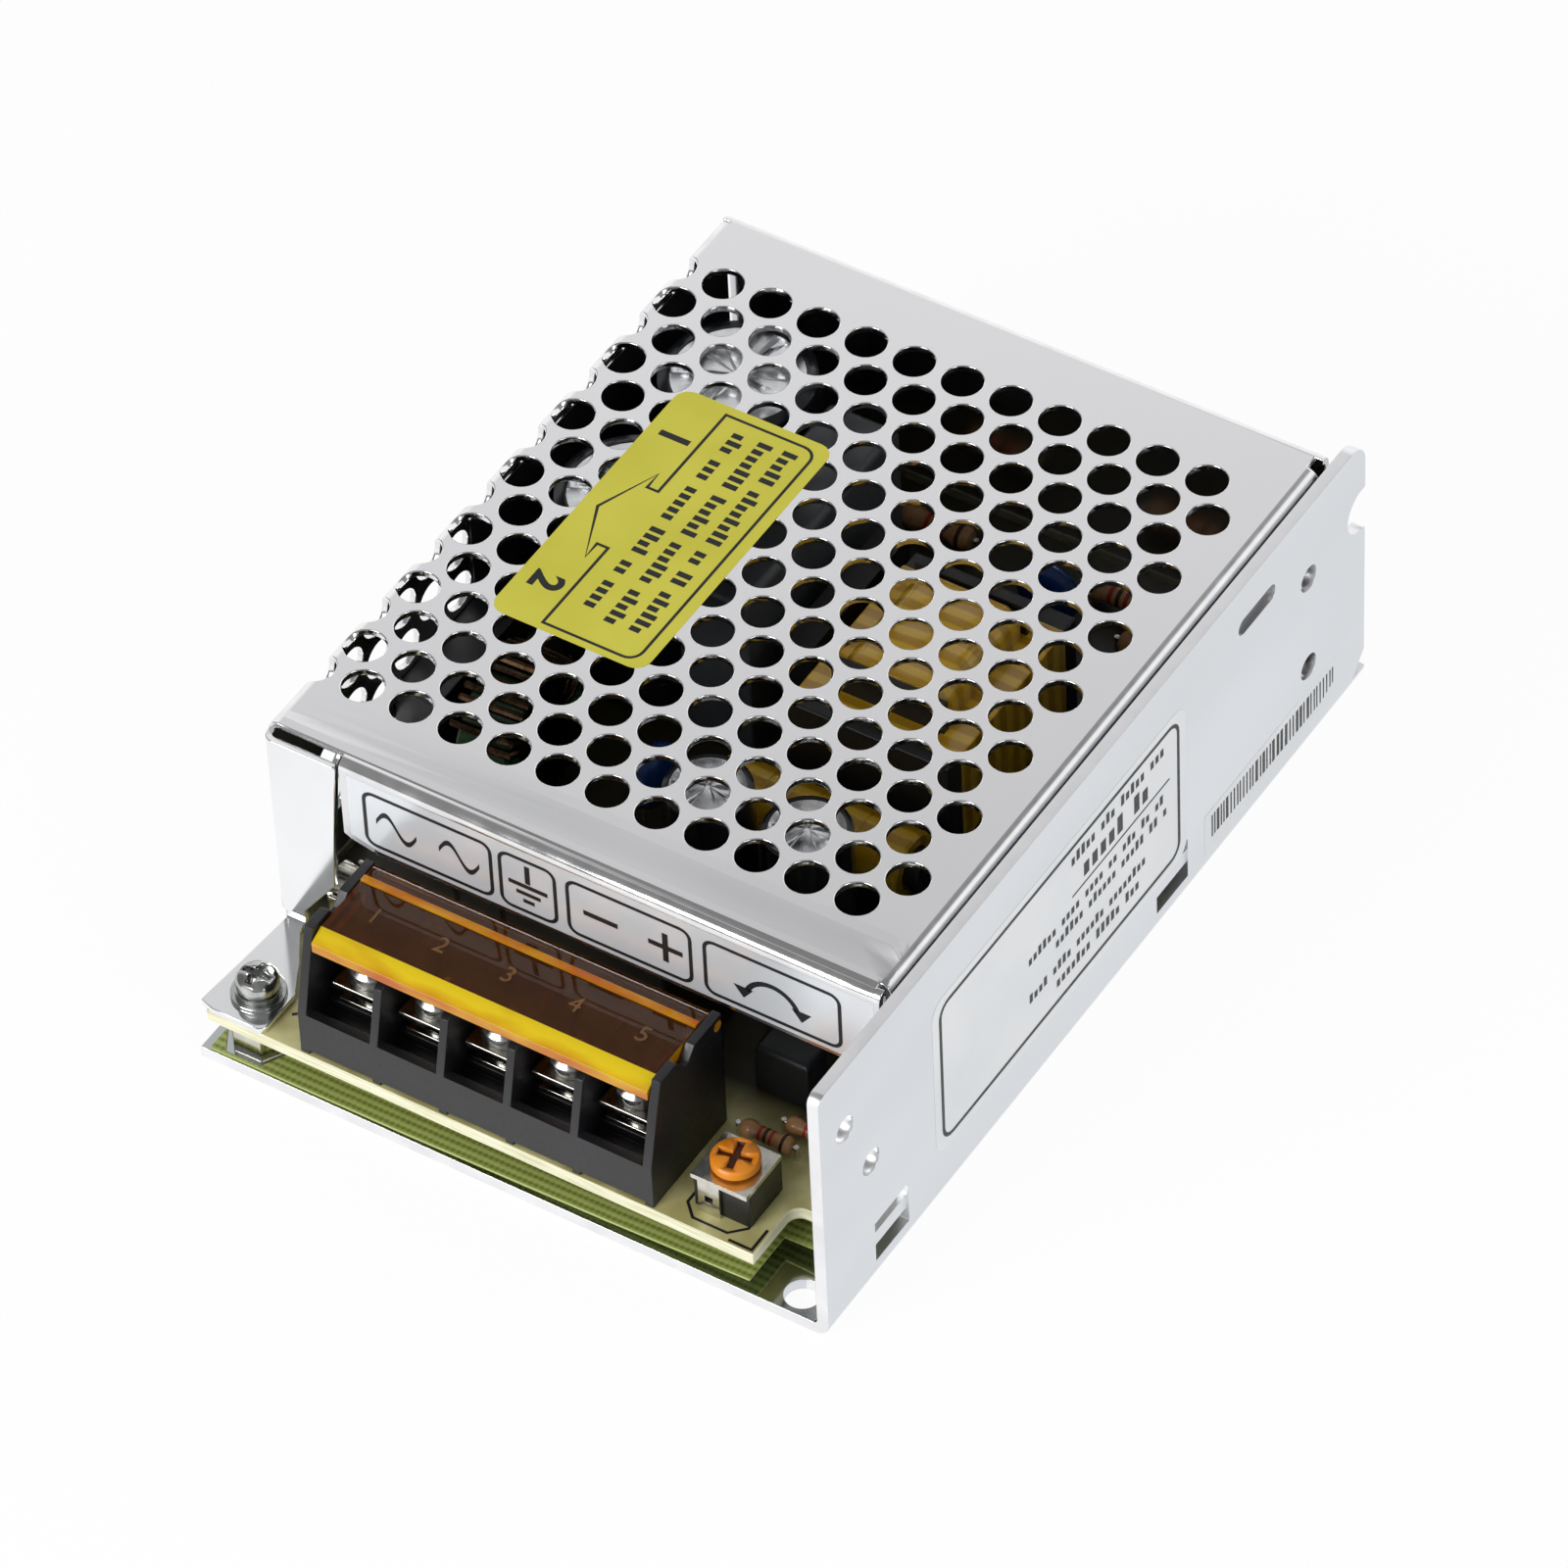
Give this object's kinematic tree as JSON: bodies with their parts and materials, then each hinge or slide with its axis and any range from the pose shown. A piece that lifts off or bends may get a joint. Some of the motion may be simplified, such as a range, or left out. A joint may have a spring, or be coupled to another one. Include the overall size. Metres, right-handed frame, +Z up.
{
  "type": "enclosed switching power supply",
  "caption": "Compact switching power supply in a folded aluminium case with a perforated cover, a barrier terminal block under a flip cover, a voltage trimmer and the circuit board inside",
  "frame": {"origin": "under the middle of the base", "axes": "+X towards the solid side wall, +Y away from the terminals along the length, +Z up"},
  "size_m": [0.078, 0.11, 0.036],
  "materials": {
    "screw_steel": "bright zinc plate",
    "standoff_brass": "turned brass",
    "film_case": "grey moulded box",
    "dark_epoxy": "black moulded epoxy",
    "capacitor_sleeve": "shrunk sleeve, bare aluminium top",
    "case_aluminium": "satin rolled sheet, polished inside",
    "ferrite": "dark pressed ferrite",
    "copper_wire": "enamelled copper wire",
    "board_laminate": "khaki laminate with black printing",
    "spring_steel": "spring steel strip",
    "blue_epoxy": "dipped blue epoxy",
    "fuse_cap": "nickel plated caps",
    "tinned_brass": "bright tin plate",
    "fuse_glass": "clear glass tube",
    "lamp_green": "diffused green lens",
    "pad_rubber": "grey silicone pad",
    "insulator_sheet": "green woven sheet",
    "yellow_tape": "wound yellow film tape",
    "cover_aluminium": "satin sheet with bright punched rims",
    "resistor_coat": "pale lacquered body",
    "selector_black": "black moulded housing",
    "selector_red": "red moulded slider",
    "terminal_plastic": "moulded black plastic",
    "amber_plastic": "clear amber moulding",
    "green_epoxy": "dipped dark green epoxy",
    "bobbin_plastic": "black moulded bobbin",
    "trimmer_black": "black moulded base",
    "dial_orange": "orange moulded dial"
  },
  "bodies": {
    "case": {"board_screws": "screw_steel", "board_standoffs": "standoff_brass", "box_capacitor": "film_case", "bridge_rectifier": "dark_epoxy", "bulk_capacitor_far": "capacitor_sleeve", "bulk_capacitor_near": "capacitor_sleeve", "chassis": "case_aluminium", "choke_core": "ferrite", "choke_winding": "copper_wire", "circuit_board": "board_laminate", "control_chip": "dark_epoxy", "device_springs": "spring_steel", "disc_capacitor": "blue_epoxy", "film_capacitor": "film_case", "flat_washer": "screw_steel", "fuse_caps": "fuse_cap", "fuse_clips": "tinned_brass", "fuse_tube": "fuse_glass", "indicator_lamp": "lamp_green", "insulating_pads": "pad_rubber", "insulating_sheet": "insulator_sheet", "optocouplers": "dark_epoxy", "output_capacitor_left": "capacitor_sleeve", "output_capacitor_right": "capacitor_sleeve", "output_capacitor_small": "capacitor_sleeve", "output_choke_core": "ferrite", "output_choke_winding": "yellow_tape", "output_diode": "dark_epoxy", "perforated_cover": "cover_aluminium", "power_transistor": "dark_epoxy", "resistors": "resistor_coat", "safety_capacitor": "blue_epoxy", "selector_housing": "selector_black", "small_capacitors": "capacitor_sleeve", "spring_washer": "screw_steel", "tab_screw": "screw_steel", "terminal_block": "terminal_plastic", "terminal_strips": "tinned_brass", "thermistor": "green_epoxy", "transformer_bobbin": "bobbin_plastic", "transformer_core": "ferrite", "transformer_winding": "yellow_tape", "trimmer_body": "trimmer_black", "trimmer_plate": "tinned_brass"},
    "selector": {"selector_slider": "selector_red"},
    "wire_clamp_1": {"terminal_clamp_1": "tinned_brass", "terminal_screw_1": "screw_steel"},
    "wire_clamp_2": {"terminal_clamp_2": "tinned_brass", "terminal_screw_2": "screw_steel"},
    "wire_clamp_3": {"terminal_clamp_3": "tinned_brass", "terminal_screw_3": "screw_steel"},
    "wire_clamp_4": {"terminal_clamp_4": "tinned_brass", "terminal_screw_4": "screw_steel"},
    "wire_clamp_5": {"terminal_clamp_5": "tinned_brass", "terminal_screw_5": "screw_steel"},
    "flip_cover": {"terminal_cover": "amber_plastic"},
    "trimmer": {"trimmer_dial": "dial_orange"}
  },
  "joints": [
    {"name": "flip_cover_hinge", "type": "hinge", "parent": "case", "child": "flip_cover", "pos_m": [0, -0.0412, 0.0227], "axis": [-1, 0, 0], "range_deg": [0, 90]},
    {"name": "trimmer_turn", "type": "hinge", "parent": "case", "child": "trimmer", "pos_m": [0.0244, -0.049, 0.0135], "axis": [0, 0, 1], "range_deg": [-105, 105]},
    {"name": "selector_slide", "type": "slide", "parent": "case", "child": "selector", "axis": [0, 1, 0], "range_m": [0, 0.005]},
    {"name": "wire_clamp_1_travel", "type": "slide", "parent": "case", "child": "wire_clamp_1", "axis": [0, 0, 1], "range_m": [-0.0019, 0]},
    {"name": "wire_clamp_2_travel", "type": "slide", "parent": "case", "child": "wire_clamp_2", "axis": [0, 0, 1], "range_m": [-0.0019, 0]},
    {"name": "wire_clamp_3_travel", "type": "slide", "parent": "case", "child": "wire_clamp_3", "axis": [0, 0, 1], "range_m": [-0.0019, 0]},
    {"name": "wire_clamp_4_travel", "type": "slide", "parent": "case", "child": "wire_clamp_4", "axis": [0, 0, 1], "range_m": [-0.0019, 0]},
    {"name": "wire_clamp_5_travel", "type": "slide", "parent": "case", "child": "wire_clamp_5", "axis": [0, 0, 1], "range_m": [-0.0019, 0]}
  ]
}
